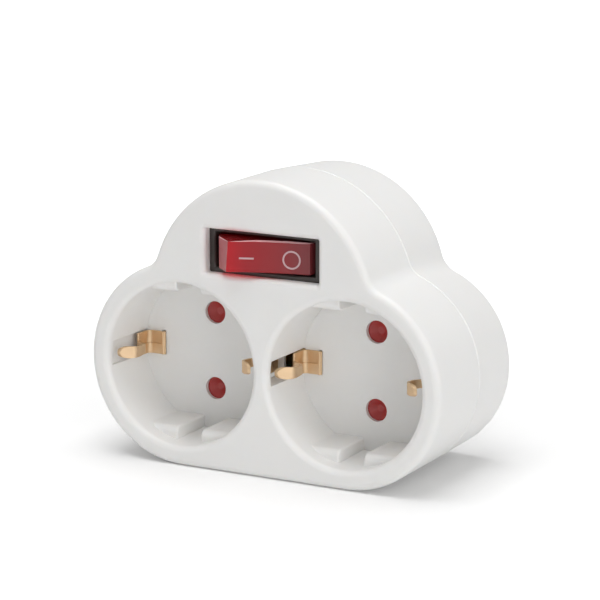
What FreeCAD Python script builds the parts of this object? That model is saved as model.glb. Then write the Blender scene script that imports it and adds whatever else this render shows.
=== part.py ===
import FreeCAD, Part
import math
import os

os.makedirs("parts", exist_ok=True)

# Two-way socket adapter with a switch. Sizes are in millimetres.
# It is drawn with the front face on depth 0: x to the right, depth away from the viewer,
# z up from the flat base. Each piece is then moved so that the origin is the middle of the base.

# housing
front_depth = 21.7
wall = 2.0
face_thickness = 2.8
socket_spacing = 44.0
lobe_room = 0.15
crown_radius = 29.75
crown_rise = 16.65
neck_radius = 5.0
rear_draft = 1.26
front_edge_round = 1.7
rear_edge_round = 1.5
parting_bevel = 0.3
lip_gap = 0.1
lip_thickness = 1.0
lip_height = 1.8
lip_root = 2.4
web_width = 2.4
web_height = 26.0

# socket recess
recess_depth = 17.5
mouth_radius = 20.0
recess_taper = 0.15
mouth_round = 1.5
cup_wall = 1.7
floor_thickness = 1.1
pin_pitch = 19.0
pin_hole_radius = 2.8
guide_reach = 3.4
guide_half_width = 11.4
guide_groove = 6.5
guide_front = 4.6
guide_nose_round = 1.6
guide_side_round = 0.5
earth_lift = 0.35
earth_shift_left = 0.55
earth_shift_right = 0.95
earth_slot_gap = 0.2
earth_slot_front = 1.9
earth_slot_depth = 0.8
earth_gap_edge = 0.8
strip_slot = 0.2

# shutter and its seat
shutter_gap = 0.15
shutter_thickness = 1.7
shutter_arm_width = 6.6
shutter_reach = 9.3
shutter_hub_radius = 4.9
shutter_dish_radius = 2.6
shutter_dish_bottom = 0.9
shutter_dish_depth = 1.1
hub_radius = 2.4
hub_clearance = 0.06
seat_ring_inner = 13.0
seat_ring_wall = 1.4
seat_slot = 0.4
plate_thickness = 1.5
plate_hole_clearance = 0.2
spring_wire = 0.5
spring_radius = 3.6
spring_leg = 5.9
spring_leg_room = 0.3

# brass strips
strip_thickness = 0.6
strip_bend = 0.6
earth_shoulder_bend = 1.5
earth_strip_width = 5.7
earth_shoulder_gap = 1.4
earth_shoulder_width = 4.4
earth_shoulder_depth = 12.4
earth_groove_width = 1.4
earth_groove_depth = 0.3
earth_groove_rise = 0.45
earth_groove_margin = 0.8
tongue_width = 2.0
tongue_tip_width = 2.9
tongue_reach = 3.7
tongue_grip_start = 10.2
tongue_grip_end = 5.7
tongue_tip_reach = 0.2
tongue_tip_depth = 3.0
tongue_bend = 2.4
bar_thickness = 0.8
bar_width = 8.0
bar_end = 4.5
bar_stand_off = 2.4
wiring_room = 7.4
contact_length = 7.0
contact_height = 6.5
contact_root = 0.7
contact_strip = 0.5
contact_gap = 4.6
contact_flare = 0.9
contact_exit = 0.6
contact_grip_start = 2.6
contact_grip_end = 3.4
contact_bend = 1.0
touch_gap = 0.05

# bars between the plug, the contacts and the switch
lead_stand_off = 2.0
lead_width = 6.0
lead_past_pin = 4.0
lamp_lead_width = 4.8
lamp_lead_past_pin = 3.5
riser_width = 5.0
tongue_step = 1.0
link_width = 5.0
link_overlap = 3.0
link_foot = 3.0
link_rivet_inset = 1.6
link_rivet_radius = 1.2
link_rivet_height = 0.6
post_width = 2.0
post_height = 6.0

# plug
plug_height = 30.0
plug_radius = 18.5
plug_length = 17.0
plug_flat = 16.6
plug_flat_start = 1.0
plug_rib_width = 6.0
plug_flat_width = 21.5
plug_face_round = 1.2
insert_radius = 14.8
insert_bevel = 0.4
plug_pin_radius = 2.4
plug_pin_length = 19.0
pin_nose_round = 1.9
plug_root_radius = 2.6
pin_collar = 0.9
rivet_radius = 1.5
rivet_head_radius = 2.5
rivet_head_height = 0.8
plug_earth_width = 6.0
plug_earth_offset = 17.0
plug_earth_spare = 0.15
plug_earth_stop = 2.0
bracket_stand_off = 1.0
bracket_neck = 1.5
bracket_bow_depth = 7.0
bracket_bow = 1.1
bracket_end = 3.0
bracket_bend = 1.0
earth_hole_radius = 2.9
earth_hole_depth = 14.0
earth_hole_drop = 9.7

# switch
switch_rise = 11.9
pocket_width = 30.2
pocket_offset = 0.35
pocket_height = 10.7
pocket_round = 1.3
pocket_corner = 0.4
pocket_rib = 1.3
pocket_rib_short = 3.0
switch_width = 32.4
switch_body_height = 13.0
switch_body_depth = 15.7
switch_floor = 1.5
switch_bevel = 0.3
switch_opening_width = 26.5
switch_opening_height = 8.5
switch_seat_gap = 0.1
rocker_pivot_depth = 7.7
rocker_rise = 8.0
rocker_dip = 1.0
rocker_face_length = 19.9
rocker_shoulder_length = 25.0
rocker_length = 25.6
rocker_shoulder = 3.8
rocker_skirt = 0.5
rocker_width = 7.7
rocker_skin = 1.2
rocker_edge_round = 0.35
rocker_tilt = 17.5
rocker_pin_radius = 1.2
rocker_pin_length = 1.4
pin_end_gap = 0.1
running_fit = 0.05
stem_width = 4.2
stem_reach = 3.2
plunger_radius = 1.1
plunger_reach = 6.4
plunger_guide = 2.6
plunger_nose_round = 1.0
plunger_wire = 0.22
plunger_spring_gap = 0.1
plunger_spring_end = 0.2
plunger_spring_turns = 4
seesaw_length = 18.0
seesaw_width = 3.2
seesaw_depth = 14.4
seesaw_tilt = 4.5
seesaw_seat_gap = 0.25
input_rise_width = 2.8
output_offset = 8.0
output_head_radius = 1.3
output_gap = 0.12
stop_offset = 6.7
stop_width = 1.2
stop_height = 2.4
stop_gap = 0.15
lamp_tab_offset = 9.0
lamp_offset = 11.3
lamp_radius = 1.6
lamp_end_gap = 0.3
resistor_radius = 1.1
resistor_half_length = 3.0
capsule_gap = 0.1
capsule_round = 0.6
tab_width = 4.8
tab_length = 12.0
tab_head = 0.6

# screws
screw_offset = 21.0
screw_rise = 10.55
lower_screw_height = 6.3
screw_radius = 1.45
screw_clearance = 0.2
screw_head_radius = 3.0
screw_head_clearance = 0.3
screw_head_height = 2.0
screw_head_round = 0.7
screw_head_gap = 0.02
screw_length = 18.0
screw_tip_room = 5.0
screw_seat_wall = 10.0
screw_seat_floor = 2.0
cross_length = 3.4
cross_width = 0.7
cross_floor = 0.8
tube_radius = 3.0
rear_tube_radius = 4.3

# allowances of the drawing: overcut is how far a cutter runs past what it cuts,
# sink is how far a block reaches into the wall that it grows from
overcut = 1.0
sink = 0.5
tolerance = 0.001

floor_radius = mouth_radius - recess_taper
cup_radius = floor_radius + cup_wall
lobe_radius = cup_radius + lobe_room + lip_thickness + lip_gap + wall
guide_flat = mouth_radius - guide_reach
earth_slot_width = earth_strip_width + 2 * earth_slot_gap
earth_shoulder_offset = floor_radius - earth_shoulder_gap
earth_leg_offset = earth_shoulder_offset - earth_shoulder_width
tongue_grip_offset = earth_shoulder_offset - tongue_reach
tongue_tip_offset = earth_shoulder_offset - tongue_tip_reach
socket_x = socket_spacing / 2
socket_z = lobe_radius
earth_z = socket_z + earth_lift
strap_x = {-1: -socket_x - earth_shift_left, 1: socket_x - earth_shift_right}
crown_height = lobe_radius + crown_rise
switch_height = crown_height + switch_rise
screw_height = crown_height + screw_rise
half_pitch = pin_pitch / 2
cup_back = recess_depth + floor_thickness
shutter_front = cup_back + shutter_gap
shutter_back = shutter_front + shutter_thickness
plate_front = shutter_back + shutter_gap
plate_back = plate_front + plate_thickness
seat_ring_outer = seat_ring_inner + seat_ring_wall
strap_back = plate_back + strip_thickness
bars_front = strap_back + bar_stand_off
bars_back = bars_front + bar_width
back_inside = bars_back + wiring_room
housing_depth = back_inside + wall
plug_face = housing_depth + plug_length
switch_front = face_thickness + switch_seat_gap
switch_back = switch_front + switch_body_depth
bar_offset = half_pitch + contact_height / 2 + contact_root
upper_bar = socket_z + bar_offset
lower_bar = socket_z - bar_offset
lead_front = back_inside - lead_stand_off
lead_back = lead_front + bar_thickness
riser_low = switch_height - tab_width / 2
riser_high = switch_height + tab_width / 2
screw_seat = front_depth + screw_seat_wall
screw_tip = screw_seat - screw_length
seesaw_back = seesaw_depth + strip_thickness
seesaw_drop = output_offset * math.tan(math.radians(seesaw_tilt))
terminal_x = {"input": 0.0, "output": output_offset, "lamp": -lamp_tab_offset}

AXIS = FreeCAD.Vector(0, 1, 0)
UP = FreeCAD.Vector(0, 0, 1)
BASE_MIDDLE = FreeCAD.Vector(0, housing_depth / 2, 0)


def vec(x, depth, z):
    return FreeCAD.Vector(x, depth, z)


def box(left, right, near, far, low, high):
    """Block between two places on each axis, given in either order."""
    start = vec(min(left, right), min(near, far), min(low, high))
    return Part.makeBox(abs(right - left), abs(far - near), abs(high - low), start)


def rod(x, z, radius, near, far):
    """Round bar along the depth."""
    return Part.makeCylinder(radius, far - near, vec(x, near, z), AXIS)


def rounded_line(points, radius):
    """Line through the points with each corner bent to the radius, or to what its runs allow."""
    edges = []
    start = points[0]
    for before, corner, after in zip(points, points[1:], points[2:]):
        back = (before - corner).normalize()
        ahead = (after - corner).normalize()
        half_angle = back.getAngle(ahead) / 2
        room = min((corner - start).Length, (after - corner).Length / 2) - tolerance
        cut = min(radius / math.tan(half_angle), room)
        inward = (back + ahead).normalize()
        bend = cut * math.tan(half_angle)
        middle = corner + inward * (bend / math.sin(half_angle) - bend)
        edges.append(Part.makeLine(start, corner + back * cut))
        edges.append(Part.Arc(corner + back * cut, middle, corner + ahead * cut).toShape())
        start = corner + ahead * cut
    edges.append(Part.makeLine(start, points[-1]))
    return Part.Wire(edges)


def bent_strip(points, thickness, bend, across):
    """Strip bent along the points and as wide as the vector across, centred on them."""
    line = rounded_line([point - across * 0.5 for point in points], bend)
    edge = line.makeOffset2D(thickness / 2, 0, False, False, True)
    return Part.Face(edge).extrude(across)


def mirrored(shape):
    return shape.mirror(vec(0, 0, 0), vec(1, 0, 0))


def fused(shapes):
    return shapes[0].multiFuse(shapes[1:]).removeSplitter()


def edges_at(shape, depth):
    """Edges that lie whole in one plane of depth."""
    found = []
    for edge in shape.Edges:
        flat = all(abs(vertex.Point.y - depth) < tolerance for vertex in edge.Vertexes)
        middle = edge.valueAt((edge.FirstParameter + edge.LastParameter) / 2)
        if flat and abs(middle.y - depth) < tolerance:
            found.append(edge)
    return found


def rim_of(shape, depth, half_width, half_height, height):
    """Edges in one plane of depth that lie on or within an upright rectangle."""
    return [edge for edge in edges_at(shape, depth)
            if abs(edge.CenterOfMass.x) < half_width + tolerance
            and abs(edge.CenterOfMass.z - height) < half_height + tolerance]


def save(name, shape):
    shape = shape.copy()
    shape.translate(BASE_MIDDLE * -1)
    shape.exportStep("parts/" + name + ".step")


def cloud(depth, inset, bottom):
    """Three-lobe outline: two lower lobes, a crown, and a hollow neck between them.

    inset moves the outline inwards; bottom is the height of its flat base."""
    low_radius = lobe_radius - inset
    top_radius = crown_radius - inset
    neck = neck_radius + inset
    low = vec(socket_x, depth, low_radius + bottom)
    top = vec(0, depth, crown_height)
    span = top - low
    reach_low = low_radius + neck
    reach_top = top_radius + neck
    along = (reach_low ** 2 - reach_top ** 2 + span.Length ** 2) / (2 * span.Length)
    aside = math.sqrt(reach_low ** 2 - along ** 2)
    direction = span * (1 / span.Length)
    outward = vec(direction.z, 0, -direction.x)
    centre = low + direction * along + outward * aside
    low_end = low + (centre - low) * (low_radius / reach_low)
    top_end = top + (centre - top) * (top_radius / reach_top)
    neck_middle = (low_end + top_end) * 0.5 - centre
    neck_point = centre + neck_middle * (neck / neck_middle.Length)
    foot = vec(socket_x, depth, bottom)
    lobe_point = low + vec(low_radius, 0, 0)

    def left(point):
        return vec(-point.x, point.y, point.z)

    edges = [Part.makeLine(left(foot), foot)]
    edges.append(Part.Arc(foot, lobe_point, low_end).toShape())
    edges.append(Part.Arc(low_end, neck_point, top_end).toShape())
    edges.append(Part.Arc(top_end, top + vec(0, 0, top_radius), left(top_end)).toShape())
    edges.append(Part.Arc(left(top_end), left(neck_point), left(low_end)).toShape())
    edges.append(Part.Arc(left(low_end), left(lobe_point), left(foot)).toShape())
    return Part.Wire(edges)


def slab(near, far, inset):
    return Part.Face(cloud(near, inset, inset)).extrude(AXIS * (far - near))


def guide_block(left, right, up):
    """One guide block of a socket at x 0, from its floor to its front, buried in its round wall."""
    far = recess_depth + overcut
    outer = mouth_radius + overcut
    groove_side = min(left, right, key=abs)

    def corner(depth, offset):
        return vec(left, depth, up * offset)

    back = corner(far, guide_flat)
    nose_start = corner(guide_front + guide_nose_round, guide_flat)
    nose_end = corner(guide_front, guide_flat + guide_nose_round)
    cut = guide_nose_round * (1 - math.sqrt(0.5))
    nose_middle = corner(guide_front + cut, guide_flat + cut)
    root = corner(guide_front, outer)
    root_back = corner(far, outer)
    outline = Part.Wire([Part.makeLine(back, nose_start),
                         Part.Arc(nose_start, nose_middle, nose_end).toShape(),
                         Part.makeLine(nose_end, root),
                         Part.makeLine(root, root_back),
                         Part.makeLine(root_back, back)])
    block = Part.Face(outline).extrude(vec(right - left, 0, 0))
    seen = [edge for edge in block.Edges
            if all(abs(vertex.Point.x - groove_side) < tolerance for vertex in edge.Vertexes)
            and edge.CenterOfMass.y < far - tolerance
            and abs(edge.CenterOfMass.z) < outer - tolerance]
    return block.makeFillet(guide_side_round, seen)


def recess_cutter(x):
    """The round space of one socket, with the guide blocks and the groove between them."""
    space = Part.makeCone(mouth_radius, floor_radius, recess_depth, vec(0, 0, 0), AXIS)
    for up in (1, -1):
        for way in (-1, 1):
            space = space.cut(guide_block(way * guide_half_width, way * guide_groove / 2, up))
    space.translate(vec(x, 0, socket_z))
    return space


def screw_places():
    return [(-screw_offset, screw_height), (screw_offset, screw_height), (0, lower_screw_height)]


def shutter_seat(x):
    """Ring and hub behind one cup, between which the shutter lies."""
    slot = earth_slot_width / 2 + seat_slot
    reach = seat_ring_outer + overcut
    ring = rod(x, socket_z, seat_ring_outer, cup_back, plate_front)
    ring = ring.cut(rod(x, socket_z, seat_ring_inner, cup_back, plate_front))
    ring = ring.cut(box(x - reach, x + reach, cup_back, plate_front, earth_z - slot, earth_z + slot))
    return [ring, rod(x, socket_z, hub_radius, cup_back - sink, plate_front)]


def pin_and_earth_holes(side):
    """Pin holes, slots for the strap's legs and side openings for its shoulders, in one socket."""
    x = side * socket_x
    low = earth_z - earth_slot_width / 2
    high = earth_z + earth_slot_width / 2
    near = recess_depth - overcut
    far = cup_back + overcut
    cutters = []
    for up in (-1, 1):
        cutters.append(rod(x, socket_z + up * half_pitch, pin_hole_radius, near, far))
    leg_room = strip_thickness / 2 + strip_slot
    for way in (-1, 1):
        leg = strap_x[side] + way * earth_leg_offset
        cutters.append(box(leg - leg_room, leg + leg_room, near, far, low, high))
    shoulder = side * (socket_x + earth_shoulder_offset - strip_thickness)
    outside = side * (socket_x + mouth_radius + earth_slot_depth)
    cutters.append(box(shoulder, outside, earth_slot_front, recess_depth, low, high))
    return cutters


def front_cover():
    """Front shell: face, two socket cups, switch pocket and screw tubes in one moulding."""
    shell = slab(0, front_depth, 0)
    shell = shell.makeFillet(front_edge_round, edges_at(shell, 0))
    shell = shell.makeChamfer(parting_bevel, edges_at(shell, front_depth))
    shell = shell.cut(slab(face_thickness, front_depth + overcut, wall))
    root = face_thickness - sink
    pieces = [shell]
    for x in (-socket_x, socket_x):
        pieces.append(rod(x, socket_z, cup_radius, sink, cup_back))
        pieces.extend(shutter_seat(x))
    pieces.append(box(-web_width / 2, web_width / 2, root, cup_back,
                      socket_z - web_height / 2, socket_z + web_height / 2))
    for x, z in screw_places():
        pieces.append(rod(x, z, tube_radius, root, front_depth - touch_gap))
    frame_x = switch_width / 2 + switch_seat_gap
    frame_z = switch_body_height / 2 + switch_seat_gap
    rib_x = frame_x + pocket_rib
    rib_z = frame_z + pocket_rib
    pieces.append(box(-rib_x, rib_x, root, switch_back - pocket_rib_short,
                      switch_height - rib_z, switch_height + rib_z))
    cover = fused(pieces)
    cover = cover.cut(box(-frame_x, frame_x, face_thickness, switch_back,
                          switch_height - frame_z, switch_height + frame_z))
    half_width = pocket_width / 2
    half_height = pocket_height / 2
    opening = box(pocket_offset - half_width, pocket_offset + half_width, -overcut,
                  face_thickness + overcut, switch_height - half_height, switch_height + half_height)
    corners = [edge for edge in opening.Edges
               if abs(edge.Vertexes[0].Point.y - edge.Vertexes[-1].Point.y) > face_thickness]
    cover = cover.cut(opening.makeFillet(pocket_corner, corners))
    rims = rim_of(cover, 0, half_width + pocket_offset, half_height, switch_height)
    cover = cover.makeFillet(pocket_round, rims)
    for x in (-socket_x, socket_x):
        cover = cover.cut(recess_cutter(x))
    mouths = [edge for edge in edges_at(cover, 0) if edge.Closed]
    cover = cover.makeFillet(mouth_round, mouths)
    cutters = pin_and_earth_holes(-1) + pin_and_earth_holes(1)
    low = earth_z - earth_slot_width / 2
    high = earth_z + earth_slot_width / 2
    inner = socket_x - earth_shoulder_offset + strip_thickness
    cutters.append(box(-inner, inner, earth_slot_front, recess_depth, low, high))
    gap = socket_x - floor_radius + earth_gap_edge
    cutters.append(box(-gap, gap, recess_depth - overcut, cup_back + overcut, low, high))
    for x, z in screw_places():
        cutters.append(rod(x, z, screw_radius + running_fit, screw_tip - screw_tip_room,
                           front_depth + overcut))
    return cover.cut(fused(cutters))


def side_grooves():
    """What is cut from the plug's sides: two flats with a rib, and the earth strip grooves."""
    cutters = []
    half = plug_earth_width / 2 + plug_earth_spare
    for way in (-1, 1):
        for up in (-1, 1):
            cutters.append(box(way * plug_flat, way * (plug_radius + overcut),
                               housing_depth + plug_flat_start, plug_face + overcut,
                               plug_height + up * plug_rib_width / 2,
                               plug_height + up * plug_flat_width / 2))
        inner = plug_height + way * (plug_earth_offset - strip_thickness / 2 - touch_gap)
        outer = plug_height + way * (plug_radius + overcut)
        passage = inner + way * (strip_thickness + 2 * touch_gap)
        cutters.append(box(-half, half, housing_depth, plug_face - plug_earth_stop, inner, outer))
        cutters.append(box(-half, half, back_inside - overcut, housing_depth + overcut, inner, passage))
    return fused(cutters)


def rear_body():
    """Rear shell: tapered back, plug shroud, screw tubes, joint lip and bar posts."""
    bevel_back = front_depth + parting_bevel
    bevel = Part.makeLoft([cloud(front_depth, parting_bevel, parting_bevel),
                           cloud(bevel_back, 0, 0)], True, True)
    outer = Part.makeLoft([cloud(bevel_back, 0, 0), cloud(housing_depth, rear_draft, 0)], True, True)
    outer = outer.makeFillet(rear_edge_round, edges_at(outer, housing_depth))
    outer = outer.fuse(bevel)
    inside_inset = wall + rear_draft * (back_inside - front_depth) / (housing_depth - front_depth)
    inner = Part.makeLoft([cloud(front_depth, wall, wall),
                           cloud(back_inside, inside_inset, wall)], True, True)
    shell = outer.cut(inner)
    lip_inset = wall + lip_gap
    lip_front = front_depth - lip_height
    lip_back = front_depth + lip_root
    lip = fused([slab(lip_front, lip_back, lip_inset), slab(front_depth, lip_back, wall / 2)])
    lip = lip.cut(slab(lip_front - overcut, lip_back + overcut, lip_inset + lip_thickness))
    shroud = rod(0, plug_height, plug_radius, housing_depth - overcut, plug_face)
    shroud = shroud.makeFillet(plug_face_round, edges_at(shroud, plug_face))
    pieces = [shell, lip, shroud]
    for x, z in screw_places():
        pieces.append(rod(x, z, rear_tube_radius, screw_seat - screw_seat_floor, housing_depth - overcut))
        pieces.append(rod(x, z, tube_radius, front_depth, housing_depth - overcut))
    for x in (-socket_x, socket_x):
        for z in (upper_bar, lower_bar):
            pieces.append(box(x - post_width / 2, x + post_width / 2, bars_back + touch_gap,
                              housing_depth - overcut, z - post_height / 2, z + post_height / 2))
    body = fused(pieces)
    cutters = [rod(0, plug_height, insert_radius + touch_gap, back_inside - overcut, plug_face + overcut)]
    cutters.append(side_grooves())
    for x, z in screw_places():
        cutters.append(rod(x, z, screw_radius + screw_clearance, front_depth - overcut,
                           housing_depth + overcut))
        cutters.append(rod(x, z, screw_head_radius + screw_head_clearance, screw_seat,
                           housing_depth + overcut))
    return body.cut(fused(cutters))


def plug_insert():
    """Round carrier of the plug pins, with the hole that takes an upright earth pin."""
    block = rod(0, plug_height, insert_radius, back_inside, plug_face)
    block = block.makeChamfer(insert_bevel, edges_at(block, plug_face))
    for x in (-half_pitch, half_pitch):
        block = block.cut(rod(x, plug_height, plug_root_radius + touch_gap,
                              back_inside - overcut, plug_face + overcut))
    hole = rod(0, plug_height - earth_hole_drop, earth_hole_radius,
               plug_face - earth_hole_depth, plug_face + overcut)
    return block.cut(hole)


def plug_pin(side, stack):
    """Turned pin: round nose, shank, collar inside the body and a riveted end through the bars."""
    x = side * half_pitch
    tip = plug_face + plug_pin_length
    inside = back_inside - touch_gap
    front = lead_back - stack
    shank = rod(x, plug_height, plug_pin_radius, plug_face, tip)
    shank = shank.makeFillet(pin_nose_round, edges_at(shank, tip))
    root = rod(x, plug_height, plug_root_radius, inside, plug_face)
    collar = rod(x, plug_height, plug_pin_radius + pin_collar, lead_back, inside)
    stub = rod(x, plug_height, rivet_radius, front - rivet_head_height, lead_back)
    head = rod(x, plug_height, rivet_head_radius, front - rivet_head_height, front)
    return fused([shank, root, collar, stub, head])


def plug_earth_bracket():
    """Bent strip: a bar inside the body and two sprung contacts, top and bottom of the plug."""
    inside = back_inside - bracket_stand_off
    side = [(inside, plug_earth_offset), (housing_depth + bracket_neck, plug_earth_offset),
            (housing_depth + bracket_bow_depth, plug_earth_offset + bracket_bow),
            (plug_face - bracket_end, plug_earth_offset)]
    path = [vec(0, depth, plug_height - offset) for depth, offset in reversed(side)]
    path += [vec(0, depth, plug_height + offset) for depth, offset in side]
    return bent_strip(path, strip_thickness, bracket_bend, vec(plug_earth_width, 0, 0))


def tongue_outline():
    """Side view of a strap's tongue: a narrow root that widens to a round end."""
    half = tongue_width / 2
    round_end = tongue_tip_width / 2
    round_middle = tongue_tip_depth + round_end
    reach = earth_shoulder_offset + overcut
    root = earth_shoulder_depth + overcut
    narrow = tongue_grip_start

    def corner(depth, z):
        return vec(0, depth, z)

    outline = Part.Wire([Part.makeLine(corner(root, half), corner(narrow, half)),
                         Part.makeLine(corner(narrow, half), corner(round_middle, round_end)),
                         Part.Arc(corner(round_middle, round_end), corner(tongue_tip_depth, 0),
                                  corner(round_middle, -round_end)).toShape(),
                         Part.makeLine(corner(round_middle, -round_end), corner(narrow, -half)),
                         Part.makeLine(corner(narrow, -half), corner(root, -half)),
                         Part.makeLine(corner(root, -half), corner(root, half))])
    return Part.Face(outline).extrude(vec(reach, 0, 0))


def earth_strap(side):
    """One strip per socket: across behind the floor, out through it and up the side walls."""
    lie = recess_depth - strip_thickness / 2 - touch_gap
    behind = plate_back + strip_thickness / 2
    face = lie - strip_thickness / 2
    inside = earth_shoulder_offset - strip_thickness / 2
    legs = [vec(-earth_leg_offset, face, 0), vec(-earth_leg_offset, behind, 0),
            vec(earth_leg_offset, behind, 0), vec(earth_leg_offset, face, 0)]
    strap = bent_strip(legs, strip_thickness, strip_bend, UP * earth_strip_width)
    foot = [vec(earth_leg_offset - strip_thickness / 2, lie, 0), vec(earth_shoulder_offset, lie, 0),
            vec(earth_shoulder_offset, earth_shoulder_depth, 0)]
    arm = bent_strip(foot, strip_thickness, earth_shoulder_bend, UP * earth_strip_width)
    groove = [vec(earth_leg_offset + earth_groove_margin, face, earth_groove_rise),
              vec(inside, face, earth_groove_rise),
              vec(inside, earth_shoulder_depth + earth_groove_margin, earth_groove_rise)]
    arm = arm.cut(bent_strip(groove, 2 * earth_groove_depth, earth_shoulder_bend - strip_thickness / 2,
                             UP * earth_groove_width))
    grip = [(earth_shoulder_offset, earth_shoulder_depth + strip_bend),
            (earth_shoulder_offset, earth_shoulder_depth - strip_bend),
            (tongue_grip_offset, tongue_grip_start), (tongue_grip_offset, tongue_grip_end),
            (tongue_tip_offset, tongue_tip_depth)]
    tongue = bent_strip([vec(offset, depth, 0) for offset, depth in grip],
                        strip_thickness, tongue_bend, UP * tongue_tip_width)
    tongue = tongue.common(tongue_outline())
    strap = fused([strap, arm, mirrored(arm), tongue, mirrored(tongue)])
    strap.translate(vec(strap_x[side], 0, earth_z))
    return strap


def earth_link():
    """T-shaped strip from both straps back to the plug's earth bracket, with two rivets."""
    reach = socket_x - earth_leg_offset + link_overlap
    half = link_width / 2
    bracket_face = back_inside - bracket_stand_off - strip_thickness / 2
    bar_back = strap_back + bar_thickness
    top = socket_z + bar_thickness / 2
    bar = box(-reach, reach, strap_back, bar_back, socket_z - half, socket_z + half)
    tongue = box(-half, half, strap_back, bracket_face, socket_z - bar_thickness / 2, top)
    foot = box(-half, half, bracket_face - bar_thickness, bracket_face, socket_z - link_foot, top)
    rivets = [rod(side * (reach - link_rivet_inset), socket_z, link_rivet_radius,
                  strap_back, bar_back + link_rivet_height) for side in (-1, 1)]
    return fused([bar, tongue, foot] + rivets)


def shutter(x):
    """Two-armed shutter that turns on the hub behind the socket floor."""
    half = shutter_arm_width / 2
    pieces = [rod(0, 0, shutter_hub_radius, shutter_front, shutter_back)]
    pieces.append(box(-half, half, shutter_front, shutter_back, -shutter_reach, shutter_reach))
    for up in (-1, 1):
        pieces.append(rod(0, up * shutter_reach, half, shutter_front, shutter_back))
    arm = fused(pieces)
    arm = arm.cut(rod(0, 0, hub_radius + hub_clearance, shutter_front - overcut, shutter_back + overcut))
    for up in (-1, 1):
        arm = arm.cut(Part.makeCone(shutter_dish_radius, shutter_dish_bottom, shutter_dish_depth,
                                    vec(0, shutter_front, up * half_pitch), AXIS))
    groove_front = shutter_back - 2 * spring_wire
    arm = arm.cut(rod(0, 0, spring_radius + spring_wire, groove_front, shutter_back + overcut))
    arm = arm.cut(box(-spring_wire, spring_wire, groove_front, shutter_back + overcut,
                      0, spring_leg + spring_leg_room))
    arm.translate(vec(x, 0, socket_z))
    return arm


def shutter_spring(x):
    """Small torsion spring lying in the groove round the shutter's hub, with one leg in its slot."""
    depth = shutter_back - spring_wire
    radius = spring_wire / 2
    ring = Part.makeTorus(spring_radius, radius, vec(x, depth, socket_z), AXIS)
    leg = Part.makeCylinder(radius, spring_leg - spring_radius, vec(x, depth, socket_z + spring_radius), UP)
    return fused([ring, leg])


def shutter_plate(side):
    """Plate over the shutter, seated on the ring, with holes for the plug pins."""
    x = side * socket_x
    plate = rod(x, socket_z, seat_ring_outer, plate_front, plate_back)
    slot = earth_slot_width / 2 + seat_slot
    near = plate_front - overcut
    far = plate_back + overcut
    for way in (-1, 1):
        plate = plate.cut(box(strap_x[side] + way * (earth_leg_offset - strip_thickness),
                              x + way * (seat_ring_outer + overcut), near, far,
                              earth_z - slot, earth_z + slot))
    for up in (-1, 1):
        plate = plate.cut(rod(x, socket_z + up * half_pitch, pin_hole_radius + plate_hole_clearance,
                              near, far))
    return plate


def pin_contact(side, up):
    """Folded contact: a web on the bar and two sprung leaves that grip a pin."""
    web_far = (upper_bar if up > 0 else lower_bar) - up * bar_thickness / 2
    web_near = web_far - up * contact_strip
    tip = web_far - up * (contact_height + contact_root)
    near = bars_front + (bar_width - contact_length) / 2
    far = near + contact_length
    gap = (contact_gap + contact_strip) / 2
    leaf = [(gap + contact_flare, near), (gap, near + contact_grip_start),
            (gap, near + contact_grip_end), (gap + contact_exit, far)]
    path = [vec(offset, depth, (tip + web_far) / 2) for offset, depth in leaf]
    grip = bent_strip(path, contact_strip, contact_bend, UP * abs(web_far - tip))
    half = gap + contact_flare
    web = box(-half, half, near, far, web_near, web_far)
    contact = fused([grip, mirrored(grip), web])
    contact.translate(vec(side * socket_x, 0, 0))
    return contact


def cross_bar(height):
    reach = socket_x + bar_end
    return box(-reach, reach, bars_front, bars_back, height - bar_thickness / 2, height + bar_thickness / 2)


def switched_bar():
    """Bar over the upper contacts with an upright that meets the switch's output terminal."""
    left = terminal_x["output"] + bar_thickness / 2
    upright = box(left, left + bar_thickness, bars_front, bars_front + riser_width, upper_bar, riser_high)
    return fused([cross_bar(upper_bar), upright])


def live_lead():
    """Bent bar riveted to the live pin, led up behind the contacts and forward to the switch."""
    left = terminal_x["input"] + bar_thickness / 2
    upright = box(half_pitch - lead_width / 2, half_pitch + lead_width / 2, lead_front, lead_back,
                  plug_height - lead_past_pin, riser_high)
    cross = box(left, half_pitch, lead_front, lead_back, riser_low, riser_high)
    tongue = box(left, left + bar_thickness, bars_front - tongue_step, lead_back, riser_low, riser_high)
    lead = fused([upright, cross, tongue])
    return lead.cut(rod(half_pitch, plug_height, rivet_radius + touch_gap,
                        lead_front - overcut, lead_back + overcut))


def neutral_bar():
    """Bar under the lower contacts with an upright riveted to the neutral pin."""
    left = -half_pitch - lead_width / 2
    right = -half_pitch + lead_width / 2
    bottom = lower_bar - bar_thickness / 2
    shelf = box(left, right, bars_front, lead_back, bottom, bottom + bar_thickness)
    upright = box(left, right, lead_front, lead_back, bottom, plug_height + lead_past_pin)
    bar = fused([cross_bar(lower_bar), shelf, upright])
    return bar.cut(rod(-half_pitch, plug_height, rivet_radius + touch_gap,
                       lead_front - overcut, lead_back + overcut))


def lamp_lead():
    """Thin strip from the neutral pin up to the lamp terminal of the switch."""
    near = lead_front - strip_thickness
    right = terminal_x["lamp"] - bar_thickness / 2
    half = lamp_lead_width / 2
    upright = box(-half_pitch - half, -half_pitch + half, near, lead_front,
                  plug_height - lamp_lead_past_pin, riser_high)
    tongue = box(right - strip_thickness, right, bars_front - tongue_step, lead_front, riser_low, riser_high)
    lead = fused([upright, tongue])
    return lead.cut(rod(-half_pitch, plug_height, rivet_radius + touch_gap,
                        near - overcut, lead_front + overcut))


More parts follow.
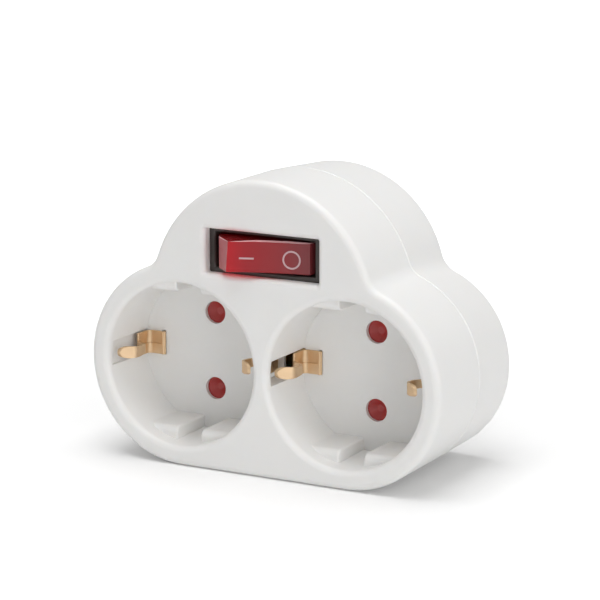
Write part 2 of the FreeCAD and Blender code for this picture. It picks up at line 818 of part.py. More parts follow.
def terminal(name):
    """Flat tab through the switch floor; the input one ends in the seesaw's pivot."""
    x = terminal_x[name]
    half = bar_thickness / 2
    floor = switch_back - switch_floor
    tab = box(x - half, x + half, floor - tab_head, switch_back + tab_length, riser_low, riser_high)
    if name == "input":
        rise = box(x - half, x + half, seesaw_back + seesaw_seat_gap, floor,
                   switch_height - input_rise_width / 2, switch_height + input_rise_width / 2)
        return fused([tab, rise])
    if name == "output":
        head = rod(x, switch_height, output_head_radius, seesaw_back + seesaw_drop + output_gap, floor)
        return fused([tab, head])
    return tab


def switch_frame():
    """Black body of the switch: bezel, well, floor with terminal slots and rocker bearings."""
    half_x = switch_width / 2
    half_z = switch_body_height / 2
    well_x = switch_opening_width / 2
    well_z = switch_opening_height / 2
    floor = switch_back - switch_floor
    body = box(-half_x, half_x, switch_front, switch_back, -half_z, half_z)
    body = body.cut(box(-well_x, well_x, switch_front - overcut, floor, -well_z, well_z))
    body = body.makeChamfer(switch_bevel, rim_of(body, switch_front, well_x, well_z, 0))
    reach = rocker_width / 2 + rocker_pin_length + pin_end_gap
    body = body.cut(Part.makeCylinder(rocker_pin_radius + running_fit, 2 * reach,
                                      vec(0, rocker_pivot_depth, -reach), UP))
    slot_x = bar_thickness / 2 + touch_gap
    slot_z = tab_width / 2 + touch_gap
    for x in terminal_x.values():
        body = body.cut(box(x - slot_x, x + slot_x, floor - overcut, switch_back + overcut,
                            -slot_z, slot_z))
    stop = box(-stop_offset - stop_width / 2, -stop_offset + stop_width / 2,
               seesaw_back + seesaw_drop + stop_gap, floor + sink, -stop_height / 2, stop_height / 2)
    body = fused([body, stop])
    body.translate(vec(0, 0, switch_height))
    return body


def rocker_block(skin, low, high):
    """Block of the rocker's side outline, moved inwards by skin and open below for the hollow."""
    face = rocker_face_length / 2 - skin
    shoulder = rocker_shoulder_length / 2 - skin
    half = rocker_length / 2 - skin
    top = -rocker_rise + skin
    bottom = rocker_skirt + skin
    right = [(face, top), (shoulder, -rocker_shoulder + skin / 2), (half, bottom)]
    left = [(-x, depth) for x, depth in reversed(right)]
    dish = Part.Arc(vec(-face, top, low), vec(0, top + rocker_dip, low), vec(face, top, low)).toShape()
    sides = Part.makePolygon([vec(x, depth, low) for x, depth in right + left])
    outline = Part.Wire([dish] + sides.Edges)
    return Part.Face(outline).extrude(UP * (high - low))


def rocker_level():
    """Rocker drawn level about its pivot: tapered key, hollow below, with a stem and two pins."""
    half_z = rocker_width / 2
    skin = rocker_skin
    stem_front = rocker_dip - rocker_rise + skin / 2
    key = rocker_block(0, -half_z, half_z)
    rims = [edge for edge in key.Edges
            if abs(edge.Vertexes[0].Point.z - edge.Vertexes[1].Point.z) < tolerance
            and edge.CenterOfMass.y < -rocker_shoulder - tolerance]
    key = key.makeFillet(rocker_edge_round, rims)
    key = key.cut(rocker_block(skin, -half_z + skin, half_z - skin))
    stem = box(-stem_width / 2, stem_width / 2, stem_front, stem_reach,
               -half_z + skin / 2, half_z - skin / 2)
    bore = rod(0, 0, plunger_radius + running_fit, rocker_dip - rocker_rise + 2 * skin,
               stem_reach + overcut)
    pins = Part.makeCylinder(rocker_pin_radius, rocker_width + 2 * rocker_pin_length,
                             vec(0, 0, -half_z - rocker_pin_length), UP)
    return fused([key, stem, pins]).cut(bore)


def plunger_level():
    """Sliding pin with a round nose that presses on the seesaw."""
    pin = rod(0, 0, plunger_radius, stem_reach - plunger_guide, plunger_reach)
    return pin.makeFillet(plunger_nose_round, edges_at(pin, plunger_reach))


def plunger_spring_level():
    """Compression spring between the rocker's stem and the plunger."""
    start = rocker_dip - rocker_rise + 2 * rocker_skin + plunger_spring_end
    length = stem_reach - plunger_guide - plunger_spring_end - start
    radius = plunger_radius - plunger_wire - plunger_spring_gap
    helix = Part.makeHelix(length / plunger_spring_turns, length, radius)
    section = Part.Wire(Part.makeCircle(plunger_wire, vec(radius, 0, 0), AXIS))
    coil = Part.Wire(helix).makePipeShell([section], True, True)
    coil.rotate(vec(0, 0, 0), vec(1, 0, 0), -90)
    coil.translate(vec(0, start, 0))
    return coil


def tilted(shape):
    shape = shape.copy()
    shape.rotate(vec(0, 0, 0), UP, rocker_tilt)
    shape.translate(vec(0, rocker_pivot_depth, switch_height))
    return shape


def seesaw_contact():
    """Moving contact that rocks on the input terminal."""
    half = seesaw_length / 2
    strip = box(-half, half, seesaw_depth, seesaw_back, -seesaw_width / 2, seesaw_width / 2)
    strip.rotate(vec(0, seesaw_back, 0), UP, -seesaw_tilt)
    strip.translate(vec(0, 0, switch_height))
    return strip


def cross_capsule(x, radius, half_length):
    """Round body lying across the switch's floor, such as the lamp or its resistor."""
    depth = switch_back - switch_floor - radius - capsule_gap
    body = Part.makeCylinder(radius, 2 * half_length, vec(x, depth, switch_height - half_length), UP)
    ends = [edge for edge in body.Edges if edge.Closed]
    return body.makeFillet(capsule_round, ends)


def housing_screws():
    """Three pan-head screws put in from the back."""
    head_back = screw_seat + screw_head_height
    screws = []
    for x, z in screw_places():
        shank = rod(x, z, screw_radius, screw_tip, screw_seat + sink)
        head = rod(x, z, screw_head_radius, screw_seat + screw_head_gap, head_back)
        head = head.makeFillet(screw_head_round, edges_at(head, head_back))
        screw = fused([shank, head])
        for wide, tall in ((cross_length / 2, cross_width / 2), (cross_width / 2, cross_length / 2)):
            screw = screw.cut(box(x - wide, x + wide, screw_seat + cross_floor, head_back + overcut,
                                  z - tall, z + tall))
        screws.append(screw)
    return Part.makeCompound(screws)


def build():
    save("front_cover", front_cover())
    save("rear_body", rear_body())
    save("plug_insert", plug_insert())
    save("live_pin", plug_pin(1, bar_thickness))
    save("neutral_pin", plug_pin(-1, bar_thickness + strip_thickness))
    save("plug_earth_bracket", plug_earth_bracket())
    save("earth_link", earth_link())
    for side, word in ((-1, "left"), (1, "right")):
        x = side * socket_x
        save("earth_strap_" + word, earth_strap(side))
        save("shutter_" + word, shutter(x))
        save("shutter_spring_" + word, shutter_spring(x))
        save("shutter_plate_" + word, shutter_plate(side))
        save("contact_upper_" + word, pin_contact(side, 1))
        save("contact_lower_" + word, pin_contact(side, -1))
    save("switched_bar", switched_bar())
    save("live_lead", live_lead())
    save("neutral_bar", neutral_bar())
    save("lamp_lead", lamp_lead())
    save("switch_frame", switch_frame())
    save("rocker", tilted(rocker_level()))
    save("rocker_plunger", tilted(plunger_level()))
    save("plunger_spring", tilted(plunger_spring_level()))
    save("seesaw_contact", seesaw_contact())
    for name in terminal_x:
        save("terminal_" + name, terminal(name))
    save("lamp_bulb", cross_capsule(-lamp_offset, lamp_radius,
                                    switch_opening_height / 2 - lamp_end_gap))
    save("lamp_resistor", cross_capsule(lamp_offset, resistor_radius, resistor_half_length))
    save("housing_screws", housing_screws())


build()
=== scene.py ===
import math

import bmesh
import bpy
from mathutils import Matrix, Vector


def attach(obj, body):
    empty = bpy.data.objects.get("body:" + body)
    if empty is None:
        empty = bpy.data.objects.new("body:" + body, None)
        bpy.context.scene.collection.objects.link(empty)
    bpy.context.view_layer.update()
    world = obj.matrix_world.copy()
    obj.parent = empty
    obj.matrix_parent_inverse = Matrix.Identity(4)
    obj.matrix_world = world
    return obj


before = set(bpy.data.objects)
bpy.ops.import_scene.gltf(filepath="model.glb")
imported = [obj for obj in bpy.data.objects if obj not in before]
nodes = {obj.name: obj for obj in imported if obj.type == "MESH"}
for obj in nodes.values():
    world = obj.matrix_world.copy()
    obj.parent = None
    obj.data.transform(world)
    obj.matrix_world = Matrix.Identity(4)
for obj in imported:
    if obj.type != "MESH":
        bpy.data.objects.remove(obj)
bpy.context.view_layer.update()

mm = 0.001

# Camera
# It stands a little right of the front and looks slightly down on the adapter, from about
# 60 cm away with a long lens, so the sides converge only a little.
camera_aim = Vector((10.94, -21.25, 44.27)) * mm
camera_heading = math.radians(28.514)
camera_drop = math.radians(12.454)
camera_distance = 588.99 * mm
camera_data = bpy.data.cameras.new("camera")
camera_data.sensor_width = 36.0
camera_data.lens = 153.32
camera = bpy.data.objects.new("camera", camera_data)
towards_camera = Vector((math.sin(camera_heading) * math.cos(camera_drop),
                         -math.cos(camera_heading) * math.cos(camera_drop),
                         math.sin(camera_drop)))
camera.location = camera_aim + towards_camera * camera_distance
camera.rotation_euler = (math.pi / 2 - camera_drop, 0.0, camera_heading)
bpy.context.scene.collection.objects.link(camera)
bpy.context.scene.camera = camera

# Floor and light
# A white photographer's table with no seam, lit by a large soft box above, two weaker ones at
# the right and in front, and the white room. The camera sees table and room as plain white.
bpy.context.scene.view_settings.view_transform = "Standard"
white = (1.0, 1.0, 1.0, 1.0)
floor_half_size = 3.0
floor_bounce = (0.88, 0.88, 0.88, 1.0)
floor_lift_near = 0.06
floor_lift_far = 0.95
floor_near = 0.035
floor_far = 0.30
room_low_strength = 0.40
room_top_strength = 0.30
room_low_level = 0.05
room_top_level = 0.60
room_in_mirrors = 0.4
soft_boxes = {
    "soft_box_above": {"size": (0.9, 0.9), "place": Vector((-0.02, -0.11, 1.14)), "power": 8.5},
    "soft_box_right": {"size": (0.8, 0.5), "place": Vector((1.05, -0.62, 0.25)), "power": 3.8},
    "soft_box_front": {"size": (1.2, 0.4), "place": Vector((0.15, -1.25, 0.24)), "power": 0.3},
}


def put(tree, socket, value):
    """Links another node's output to a socket, or sets a plain value on it."""
    if isinstance(value, bpy.types.NodeSocket):
        tree.links.new(value, socket)
    else:
        socket.default_value = value


def worked_out(tree, operation, *values):
    """Result of a math operation on numbers and other nodes' outputs."""
    node = tree.nodes.new("ShaderNodeMath")
    node.operation = operation
    for socket, value in zip(node.inputs, values):
        put(tree, socket, value)
    return node.outputs[0]


def mapped(tree, value, start, end, low=0.0, high=1.0, smooth=False):
    """A value's place between start and end, as a number between low and high."""
    node = tree.nodes.new("ShaderNodeMapRange")
    if smooth:
        node.interpolation_type = "SMOOTHSTEP"
    put(tree, node.inputs["Value"], value)
    put(tree, node.inputs["From Min"], start)
    put(tree, node.inputs["From Max"], end)
    put(tree, node.inputs["To Min"], low)
    put(tree, node.inputs["To Max"], high)
    return node.outputs["Result"]


def mixed(tree, share, first, second):
    """First colour, with a share of the second."""
    node = tree.nodes.new("ShaderNodeMixRGB")
    put(tree, node.inputs["Fac"], share)
    put(tree, node.inputs["Color1"], first)
    put(tree, node.inputs["Color2"], second)
    return node.outputs["Color"]


def axis_part(tree, vector, axis):
    """One of the three parts of a vector."""
    node = tree.nodes.new("ShaderNodeSeparateXYZ")
    put(tree, node.inputs["Vector"], vector)
    return node.outputs[axis]


def seen_directly(tree):
    """1 where the camera or clear glass looks at this surface, less in mirrors, 0 for its light."""
    path = tree.nodes.new("ShaderNodeLightPath")
    mirror = worked_out(tree, "MULTIPLY_ADD", path.outputs["Is Glossy Ray"], room_in_mirrors,
                        path.outputs["Is Camera Ray"])
    return worked_out(tree, "MAXIMUM", mirror, path.outputs["Is Transmission Ray"])


table_material = bpy.data.materials.new("white_table")
table_material.use_nodes = True
table_tree = table_material.node_tree
table_tree.nodes.clear()
table_seen = seen_directly(table_tree)
table_place = table_tree.nodes.new("ShaderNodeTexCoord")
table_distance = table_tree.nodes.new("ShaderNodeVectorMath")
table_distance.operation = "LENGTH"
put(table_tree, table_distance.inputs[0], table_place.outputs["Object"])
table_lift = mapped(table_tree, table_distance.outputs["Value"], floor_near, floor_far,
                    floor_lift_near, floor_lift_far, smooth=True)
table_surface = table_tree.nodes.new("ShaderNodeBsdfDiffuse")
table_tone = mixed(table_tree, table_seen, floor_bounce, white)
put(table_tree, table_surface.inputs["Color"], table_tone)
table_glow = table_tree.nodes.new("ShaderNodeEmission")
table_glow_strength = worked_out(table_tree, "MULTIPLY", table_seen, table_lift)
put(table_tree, table_glow.inputs["Strength"], table_glow_strength)
table_sum = table_tree.nodes.new("ShaderNodeAddShader")
put(table_tree, table_sum.inputs[0], table_surface.outputs[0])
put(table_tree, table_sum.inputs[1], table_glow.outputs[0])
table_output = table_tree.nodes.new("ShaderNodeOutputMaterial")
put(table_tree, table_output.inputs["Surface"], table_sum.outputs[0])

table_mesh = bpy.data.meshes.new("white_table")
table_shape = bmesh.new()
bmesh.ops.create_grid(table_shape, x_segments=1, y_segments=1, size=floor_half_size)
table_shape.to_mesh(table_mesh)
table_shape.free()
table = bpy.data.objects.new("white_table", table_mesh)
table.data.materials.append(table_material)
bpy.context.scene.collection.objects.link(table)

room = bpy.data.worlds.new("white_room")
bpy.context.scene.world = room
room.use_nodes = True
room_tree = room.node_tree
room_light = room_tree.nodes["Background"]
room_light.inputs["Color"].default_value = white
room_way = room_tree.nodes.new("ShaderNodeTexCoord")
room_level = axis_part(room_tree, room_way.outputs["Generated"], "Z")
room_strength = mapped(room_tree, room_level, room_low_level, room_top_level, room_low_strength,
                       room_top_strength, smooth=True)
put(room_tree, room_light.inputs["Strength"], room_strength)
room_white = room_tree.nodes.new("ShaderNodeBackground")
room_white.inputs["Color"].default_value = white
room_mix = room_tree.nodes.new("ShaderNodeMixShader")
put(room_tree, room_mix.inputs["Fac"], seen_directly(room_tree))
put(room_tree, room_mix.inputs[1], room_light.outputs[0])
put(room_tree, room_mix.inputs[2], room_white.outputs[0])
put(room_tree, room_tree.nodes["World Output"].inputs["Surface"], room_mix.outputs[0])

for box_name, box in soft_boxes.items():
    box_light = bpy.data.lights.new(box_name, "AREA")
    box_light.shape = "RECTANGLE"
    box_light.size, box_light.size_y = box["size"]
    box_light.energy = box["power"]
    soft_box = bpy.data.objects.new(box_name, box_light)
    soft_box.location = box["place"]
    soft_box.rotation_euler = (-box["place"]).to_track_quat("-Z", "Y").to_euler()
    bpy.context.scene.collection.objects.link(soft_box)

# Front cover and rear body
# Two shells injection-moulded from white plastic, with a fine even grain from the spark-eroded
# mould and slightly glossy where the steel was smoother. Three screws from the back close them.
shell_white = (0.91, 0.905, 0.890, 1.0)
shell_scatter = 0.18
shell_scatter_radius = (1.0, 0.85, 0.7)
shell_scatter_scale = 1.2 * mm
mould_flow_scale = 55.0
mould_flow_bend = 0.4
mould_gloss_change = 2.0
noise_middle = 0.5


def noise(tree, place, scale, detail, roughness=0.5, distortion=0.0):
    """Uneven grey over a piece."""
    node = tree.nodes.new("ShaderNodeTexNoise")
    put(tree, node.inputs["Vector"], place)
    put(tree, node.inputs["Scale"], scale)
    put(tree, node.inputs["Detail"], detail)
    put(tree, node.inputs["Roughness"], roughness)
    put(tree, node.inputs["Distortion"], distortion)
    return node.outputs["Fac"]


def scaled(tree, colour, share):
    """A colour made darker or lighter by a share."""
    node = tree.nodes.new("ShaderNodeVectorMath")
    node.operation = "SCALE"
    put(tree, node.inputs[0], colour)
    put(tree, node.inputs["Scale"], share)
    return node.outputs["Vector"]


def start_surface(name, given):
    """Starts a shared surface that gives colour, roughness and height. Returns both its ends."""
    group = bpy.data.node_groups.new(name, "ShaderNodeTree")
    for label, (kind, value) in given.items():
        group.interface.new_socket(label, in_out="INPUT", socket_type=kind).default_value = value
    group.interface.new_socket("Colour", in_out="OUTPUT", socket_type="NodeSocketColor")
    group.interface.new_socket("Roughness", in_out="OUTPUT", socket_type="NodeSocketFloat")
    group.interface.new_socket("Height", in_out="OUTPUT", socket_type="NodeSocketFloat")
    return group, group.nodes.new("NodeGroupInput"), group.nodes.new("NodeGroupOutput")


def moulded_skin_group():
    """Surface of a moulded piece: even grain, and faint broad changes of tone and gloss."""
    group, given, result = start_surface("moulded_skin", {
        "Colour": ("NodeSocketColor", (0.8, 0.8, 0.8, 1.0)),
        "Roughness": ("NodeSocketFloat", 0.4),
        "Grain": ("NodeSocketFloat", 5000.0),
        "Unevenness": ("NodeSocketFloat", 0.03),
    })
    place = group.nodes.new("ShaderNodeTexCoord").outputs["Object"]
    grain = noise(group, place, given.outputs["Grain"], detail=3.0, roughness=0.6)
    flow = noise(group, place, mould_flow_scale, detail=3.0, distortion=mould_flow_bend)
    centred = worked_out(group, "SUBTRACT", flow, noise_middle)
    change = worked_out(group, "MULTIPLY", centred, given.outputs["Unevenness"])
    tone = worked_out(group, "ADD", change, 1.0)
    gloss = worked_out(group, "MULTIPLY_ADD", change, mould_gloss_change, given.outputs["Roughness"])
    put(group, result.inputs["Colour"], scaled(group, given.outputs["Colour"], tone))
    put(group, result.inputs["Roughness"], gloss)
    put(group, result.inputs["Height"], grain)
    return group


def surfaced_material(name, surface, height, values):
    """Material with a shared surface on its colour, roughness and bump."""
    material = bpy.data.materials.new(name)
    material.use_nodes = True
    tree = material.node_tree
    shader = tree.nodes["Principled BSDF"]
    skin = tree.nodes.new("ShaderNodeGroup")
    skin.node_tree = surface
    for label, value in values.items():
        skin.inputs[label].default_value = value
    bump = tree.nodes.new("ShaderNodeBump")
    bump.inputs["Distance"].default_value = height
    tree.links.new(skin.outputs["Height"], bump.inputs["Height"])
    tree.links.new(skin.outputs["Colour"], shader.inputs["Base Color"])
    tree.links.new(skin.outputs["Roughness"], shader.inputs["Roughness"])
    tree.links.new(bump.outputs["Normal"], shader.inputs["Normal"])
    return material


moulded_skin = moulded_skin_group()


def moulded_plastic(name, colour, roughness, grain, grain_height, unevenness=0.03):
    """Plastic from a mould. Its grain is in grains per metre."""
    return surfaced_material(name, moulded_skin, grain_height, {
        "Colour": colour, "Roughness": roughness, "Grain": grain, "Unevenness": unevenness})


def finish_nodes(names, material):
    """Gives carried-over solids their material."""
    for name in names:
        slots = nodes[name].material_slots
        if not slots:
            nodes[name].data.materials.append(material)
        for slot in slots:
            slot.material = material


shell_plastic = moulded_plastic("shell_plastic", shell_white, roughness=0.42, grain=5200.0,
                                grain_height=0.004 * mm)
shell_shader = shell_plastic.node_tree.nodes["Principled BSDF"]
shell_shader.inputs["Subsurface Weight"].default_value = shell_scatter
shell_shader.inputs["Subsurface Radius"].default_value = shell_scatter_radius
shell_shader.inputs["Subsurface Scale"].default_value = shell_scatter_scale
finish_nodes(["front_cover", "rear_body"], shell_plastic)

# Plug insert and shutter plates
# Inner mouldings from the same plastic without a fine finish, so they are more matt and a touch
# greyer. The insert sits in the plug's round well, and a plate closes each socket's shutter in.
insert_white = (0.80, 0.80, 0.78, 1.0)
insert_plastic = moulded_plastic("insert_plastic", insert_white, roughness=0.55, grain=3500.0,
                                 grain_height=0.01 * mm)
finish_nodes(["plug_insert", "shutter_plate_left", "shutter_plate_right"], insert_plastic)

# Switch frame
# Bezel and body of a bought-in rocker switch, moulded from black heat-proof plastic with a
# satin face. It snaps into the pocket of the front cover.
frame_black = (0.046, 0.038, 0.034, 1.0)
switch_plastic = moulded_plastic("switch_plastic", frame_black, roughness=0.38, grain=4200.0,
                                 grain_height=0.006 * mm, unevenness=0.10)
finish_nodes(["switch_frame"], switch_plastic)

# Rocker
# Key of the switch, moulded from clear red plastic and polished, with a hollow underside over
# the lamp. Its colour is painted light and shade: bright red at the raised left end, and darker,
# smoky red towards the sunk right end. Its upper and lower flanks have painted shade, its left
# end face a painted reflection, and its top front edge a painted highlight. A painted red glow
# from its flanks lights the frame and cover beside it.
# Painted light and shade along the key: lit bright red at the raised left end, shaded smoky red at the
# sunk right end.
rocker_painted_light_tones = [(0.03, (0.485, 0.007, 0.015, 1.0)), (0.18, (0.372, 0.012, 0.019, 1.0)),
                (0.35, (0.340, 0.017, 0.023, 1.0)), (0.70, (0.312, 0.029, 0.034, 1.0)),
                (0.96, (0.245, 0.042, 0.048, 1.0))]
rocker_painted_light_tones_left = -9.0 * mm
rocker_painted_light_tones_right = 13.0 * mm
rocker_flank_start = 0.85
rocker_flank_full = 0.98
rocker_flank_painted_shade = 0.36
rocker_end_painted_reflection = (0.44, 0.10, 0.11, 1.0)
rocker_end_reflection_start = -6.95 * mm
rocker_end_reflection_full = -7.25 * mm
rocker_edge_painted_highlight = (0.72, 0.42, 0.44, 1.0)
rocker_highlight_levels = [(0.25, (0.0, 0.0, 0.0, 1.0)), (0.45, white), (0.80, white),
                      (0.93, (0.0, 0.0, 0.0, 1.0))]
rocker_painted_glow = (1.0, 0.02, 0.04, 1.0)
rocker_painted_glow_left = 0.5
rocker_painted_glow_right = 0.05
rocker_scatter = 0.15
rocker_scatter_radius = (1.0, 0.05, 0.05)
rocker_scatter_scale = 2.0 * mm
rocker_edge_round = 0.22 * mm
rocker_edge_angle = math.radians(28)


def ramp(tree, value, stops):
    """Colour that a value takes between stops, each a place and a colour."""
    node = tree.nodes.new("ShaderNodeValToRGB")
    elements = node.color_ramp.elements
    elements[0].position, elements[0].color = stops[0]
    elements[1].position, elements[1].color = stops[-1]
    for place, colour in stops[1:-1]:
        elements.new(place).color = colour
    put(tree, node.inputs["Fac"], value)
    return node.outputs["Color"]


rocker_plastic = moulded_plastic("rocker_plastic", rocker_painted_light_tones[0][1], roughness=0.14, grain=900.0,
                                 grain_height=0.002 * mm, unevenness=0.06)
rocker_tree = rocker_plastic.node_tree
rocker_place = rocker_tree.nodes.new("ShaderNodeTexCoord")
rocker_way = rocker_tree.nodes.new("ShaderNodeNewGeometry")
rocker_path = rocker_tree.nodes.new("ShaderNodeLightPath")
rocker_x = axis_part(rocker_tree, rocker_place.outputs["Object"], "X")
rocker_up = axis_part(rocker_tree, rocker_way.outputs["Normal"], "Z")
rocker_along = mapped(rocker_tree, rocker_x, rocker_painted_light_tones_left, rocker_painted_light_tones_right, smooth=True)
rocker_level = worked_out(rocker_tree, "ABSOLUTE", rocker_up)
rocker_flank = mapped(rocker_tree, rocker_level, rocker_flank_start, rocker_flank_full)
# Painted shade: the key's upper and lower flanks, found from their normals, are darkened.
rocker_painted_flank_shade = mapped(rocker_tree, rocker_flank, 0.0, 1.0, 1.0, rocker_flank_painted_shade)
rocker_painted_light_and_shade = scaled(rocker_tree, ramp(rocker_tree, rocker_along, rocker_painted_light_tones), rocker_painted_flank_shade)
# Painted reflection: the left end face, apart from the flanks, is turned pale pink as if it mirrored
# the white room.
rocker_end = mapped(rocker_tree, rocker_x, rocker_end_reflection_start, rocker_end_reflection_full)
rocker_not_flank = worked_out(rocker_tree, "SUBTRACT", 1.0, rocker_flank)
rocker_end_reflection_mask = worked_out(rocker_tree, "MULTIPLY", rocker_end, rocker_not_flank)
rocker_with_end_reflection = mixed(rocker_tree, rocker_end_reflection_mask, rocker_painted_light_and_shade, rocker_end_painted_reflection)
# Painted highlight: where the rounded top edge faces partly upwards, a pale pink line of light is
# painted.
rocker_highlight_mask = ramp(rocker_tree, rocker_up, rocker_highlight_levels)
rocker_colour = mixed(rocker_tree, rocker_highlight_mask, rocker_with_end_reflection, rocker_edge_painted_highlight)
put(rocker_tree, rocker_tree.nodes["Group"].inputs["Colour"], rocker_colour)

# Painted glow: the flanks emit red light, strongest at the left end and only for diffuse rays, so the
# key paints red light on the frame and cover beside it though it is no lamp.
rocker_glow_share = mapped(rocker_tree, rocker_along, 0.0, 1.0, rocker_painted_glow_left, rocker_painted_glow_right)
rocker_glow_on_diffuse = worked_out(rocker_tree, "MULTIPLY", rocker_glow_share, rocker_path.outputs["Is Diffuse Ray"])
rocker_glow_strength = worked_out(rocker_tree, "MULTIPLY", rocker_glow_on_diffuse, rocker_flank)
rocker_shader = rocker_tree.nodes["Principled BSDF"]
put(rocker_tree, rocker_shader.inputs["Emission Strength"], rocker_glow_strength)
rocker_shader.inputs["Emission Color"].default_value = rocker_painted_glow
rocker_shader.inputs["Subsurface Weight"].default_value = rocker_scatter
rocker_shader.inputs["Subsurface Radius"].default_value = rocker_scatter_radius
rocker_shader.inputs["Subsurface Scale"].default_value = rocker_scatter_scale
rocker_shader.inputs["IOR"].default_value = 1.5
rocker_shader.inputs["Specular IOR Level"].default_value = 0.3
finish_nodes(["rocker"], rocker_plastic)
rocker_edges = nodes["rocker"].modifiers.new("edges", "BEVEL")
rocker_edges.width = rocker_edge_round
rocker_edges.segments = 3
rocker_edges.limit_method = "ANGLE"
rocker_edges.angle_limit = rocker_edge_angle

# Dash and ring on the rocker
# The on and off signs are hot-stamped in pale ink on the hollow face of the key, a fraction of
# a millimetre thick, and follow its curve.
rocker_pivot = Vector((0.0, -13.55, 53.35)) * mm
rocker_tilt = math.radians(17.5)
rocker_reach = 20.0 * mm
sign_pink = (0.62, 0.42, 0.44, 1.0)
sign_height = -0.5 * mm
sign_line = 0.4 * mm
sign_proud = 0.05 * mm
sign_root = 0.05 * mm
sign_thickness = sign_proud + sign_root
dash_left = -6.95 * mm
dash_right = -3.50 * mm
dash_cuts = 9
ring_middle = 5.5 * mm
ring_radius = 2.0 * mm
ring_steps = 64


def place_on_rocker(shape):
    """Lays a flat sign, drawn in x and z with its thickness towards -y, on the tilted face."""
    tilted = Matrix.Translation(rocker_pivot) @ Matrix.Rotation(rocker_tilt, 4, "Z")
    inwards = tilted.to_3x3() @ Vector((0.0, 1.0, 0.0))
    for vertex in shape.verts:
        start = tilted @ Vector((vertex.co.x, -rocker_reach, vertex.co.z))
        touched = nodes["rocker"].ray_cast(start, inwards)[1]
        depth = (tilted.inverted() @ touched).y
        vertex.co.y += depth - (sign_proud - sign_root) / 2
    bmesh.ops.transform(shape, matrix=tilted, verts=shape.verts)


def add_piece(name, shape, material, body):
    """Turns a finished shape into a piece of the object that rides on a body."""
    bmesh.ops.recalc_face_normals(shape, faces=shape.faces)
    mesh = bpy.data.meshes.new(name)
    shape.to_mesh(mesh)
    shape.free()
    piece = bpy.data.objects.new(name, mesh)
    piece.data.materials.append(material)
    bpy.context.scene.collection.objects.link(piece)
    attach(piece, body)


sign_ink = moulded_plastic("sign_ink", sign_pink, roughness=0.45, grain=3000.0,
                           grain_height=0.004 * mm)

dash = bmesh.new()
bmesh.ops.create_cube(dash, size=1.0)
bmesh.ops.scale(dash, vec=(dash_right - dash_left, sign_thickness, sign_line), verts=dash.verts)
bmesh.ops.translate(dash, vec=((dash_left + dash_right) / 2, 0.0, sign_height), verts=dash.verts)
long_edges = [edge for edge in dash.edges if abs(edge.verts[0].co.x - edge.verts[1].co.x) > sign_line]
bmesh.ops.subdivide_edges(dash, edges=long_edges, cuts=dash_cuts, use_grid_fill=True)
place_on_rocker(dash)
add_piece("rocker_dash", dash, sign_ink, "rocker_key")

ring = bmesh.new()
bmesh.ops.create_circle(ring, segments=4, radius=sign_line / math.sqrt(2), cap_ends=False)
bmesh.ops.rotate(ring, matrix=Matrix.Rotation(math.pi / 4, 3, "Z"), verts=ring.verts)
bmesh.ops.scale(ring, vec=(1.0, sign_thickness / sign_line, 1.0), verts=ring.verts)
bmesh.ops.translate(ring, vec=(ring_radius, 0.0, 0.0), verts=ring.verts)
bmesh.ops.spin(ring, geom=ring.verts[:] + ring.edges[:], axis=(0.0, 1.0, 0.0), cent=(0.0, 0.0, 0.0),
               angle=2 * math.pi, steps=ring_steps, use_merge=True)
bmesh.ops.translate(ring, vec=(ring_middle, 0.0, sign_height), verts=ring.verts)
place_on_rocker(ring)
add_piece("rocker_ring", ring, sign_ink, "rocker_key")

# Rocker plunger
# Small turned pin of grey plastic in the key's stem. Its spring pushes it on to the moving
# contact, which gives the switch its snap.
plunger_grey = (0.66, 0.66, 0.63, 1.0)
plunger_plastic = moulded_plastic("plunger_plastic", plunger_grey, roughness=0.40, grain=5000.0,
                                  grain_height=0.003 * mm)
finish_nodes(["rocker_plunger"], plunger_plastic)

# Shutters
# Two-armed plates moulded from dark red plastic with a satin skin, dished where a plug pin
# meets them. They lie close behind the socket floors and show through the pin holes.
shutter_red = (0.45, 0.040, 0.037, 1.0)
shutter_plastic = moulded_plastic("shutter_plastic", shutter_red, roughness=0.30, grain=3800.0,
                                  grain_height=0.008 * mm, unevenness=0.08)
finish_nodes(["shutter_left", "shutter_right"], shutter_plastic)

# Earth straps
# Stamped and bent from bright brass strip, one to a socket, with a contact at either side of the
# recess. Rolling left fine lines along the strip.
strap_brass = (0.80, 0.585, 0.37, 1.0)
metal_cloud_scale = 320.0


def rolled_metal_group():
    """Surface of rolled or turned metal: fine lines along one way, cloudy tone, faint tarnish."""
    group, given, result = start_surface("rolled_metal", {
        "Colour": ("NodeSocketColor", (0.8, 0.8, 0.8, 1.0)),
        "Roughness": ("NodeSocketFloat", 0.25),
        "Lines": ("NodeSocketVector", (200.0, 200.0, 9000.0)),
        "Tarnish": ("NodeSocketFloat", 0.15),
    })
    place = group.nodes.new("ShaderNodeTexCoord").outputs["Object"]
    stretched = group.nodes.new("ShaderNodeVectorMath")
    stretched.operation = "MULTIPLY"
    put(group, stretched.inputs[0], place)
    put(group, stretched.inputs[1], given.outputs["Lines"])
    lines = noise(group, stretched.outputs["Vector"], scale=1.0, detail=2.0)
    cloud = noise(group, place, metal_cloud_scale, detail=4.0)
    dull = worked_out(group, "MULTIPLY", cloud, given.outputs["Tarnish"])
    bright = worked_out(group, "SUBTRACT", 1.0, dull)
    put(group, result.inputs["Colour"], scaled(group, given.outputs["Colour"], bright))
    worn = worked_out(group, "ADD", given.outputs["Roughness"], dull)
    put(group, result.inputs["Roughness"], worn)
    put(group, result.inputs["Height"], lines)
    return group


rolled_metal = rolled_metal_group()


def bright_metal(name, colour, roughness, lines, line_height, tarnish):
    """Bare or plated metal. Its fine lines are given along each axis, in lines per metre."""
    material = surfaced_material(name, rolled_metal, line_height, {
        "Colour": colour, "Roughness": roughness, "Lines": lines, "Tarnish": tarnish})
    material.node_tree.nodes["Principled BSDF"].inputs["Metallic"].default_value = 1.0
    return material


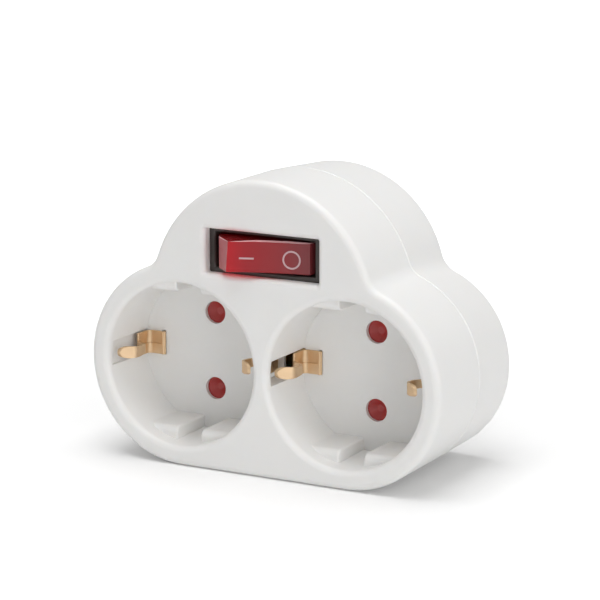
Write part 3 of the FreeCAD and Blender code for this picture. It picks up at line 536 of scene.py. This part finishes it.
earth_brass = bright_metal("earth_brass", strap_brass, roughness=0.42, lines=(500.0, 500.0, 7000.0),
                           line_height=0.004 * mm, tarnish=0.14)
finish_nodes(["earth_strap_left", "earth_strap_right"], earth_brass)

# Bars, contacts and terminals
# Stamped from the same brass strip and left as rolled, so they are duller than the straps.
# They join the plug pins, the socket contacts and the switch inside the housing.
rolled_brass = (0.72, 0.50, 0.24, 1.0)
bar_brass = bright_metal("bar_brass", rolled_brass, roughness=0.30, lines=(6000.0, 500.0, 500.0),
                         line_height=0.006 * mm, tarnish=0.25)
finish_nodes(["earth_link", "switched_bar", "live_lead", "neutral_bar", "lamp_lead", "seesaw_contact",
              "contact_upper_left", "contact_upper_right", "contact_lower_left",
              "contact_lower_right", "terminal_input", "terminal_output", "terminal_lamp"], bar_brass)

# Plug pins
# Turned from brass rod and nickel-plated, with rounded noses. Fine lines from the lathe run
# round each pin.
pin_silver = (0.72, 0.70, 0.66, 1.0)
pin_nickel = bright_metal("pin_nickel", pin_silver, roughness=0.18, lines=(300.0, 9000.0, 300.0),
                          line_height=0.003 * mm, tarnish=0.08)
finish_nodes(["live_pin", "neutral_pin"], pin_nickel)

# Plug earth bracket
# Bent from nickel-plated spring strip. Its two ends lie in grooves at the top and bottom of
# the plug, where a wall socket's own earth contacts touch them.
bracket_silver = (0.68, 0.66, 0.61, 1.0)
bracket_nickel = bright_metal("bracket_nickel", bracket_silver, roughness=0.24,
                              lines=(8000.0, 300.0, 300.0), line_height=0.004 * mm, tarnish=0.12)
finish_nodes(["plug_earth_bracket"], bracket_nickel)

# Springs
# Wound from hard-drawn steel wire: one torsion spring to a shutter, and the compression
# spring in the rocker's stem.
wire_grey = (0.50, 0.50, 0.50, 1.0)
spring_steel = bright_metal("spring_steel", wire_grey, roughness=0.22, lines=(2000.0, 2000.0, 2000.0),
                            line_height=0.003 * mm, tarnish=0.15)
finish_nodes(["shutter_spring_left", "shutter_spring_right", "plunger_spring"], spring_steel)

# Housing screws
# Pan-head screws of zinc-plated steel with a cross slot, driven from the back into blind holes
# of the front cover.
zinc_grey = (0.58, 0.59, 0.60, 1.0)
screw_steel = bright_metal("screw_steel", zinc_grey, roughness=0.28, lines=(3000.0, 3000.0, 3000.0),
                           line_height=0.004 * mm, tarnish=0.2)
finish_nodes(["housing_screws"], screw_steel)

# Lamp and its resistor
# A clear glass neon bulb the size of a grain of rice lies under the key, and a lacquered
# resistor at the other end of the switch keeps its current small.
lamp_tint = (0.95, 0.86, 0.80, 1.0)
lamp_glass = moulded_plastic("lamp_glass", lamp_tint, roughness=0.06, grain=400.0,
                             grain_height=0.002 * mm)
lamp_shader = lamp_glass.node_tree.nodes["Principled BSDF"]
lamp_shader.inputs["Transmission Weight"].default_value = 0.8
lamp_shader.inputs["IOR"].default_value = 1.5
finish_nodes(["lamp_bulb"], lamp_glass)
resistor_tan = (0.60, 0.45, 0.26, 1.0)
resistor_lacquer = moulded_plastic("resistor_lacquer", resistor_tan, roughness=0.32, grain=2500.0,
                                   grain_height=0.01 * mm, unevenness=0.12)
finish_nodes(["lamp_resistor"], resistor_lacquer)
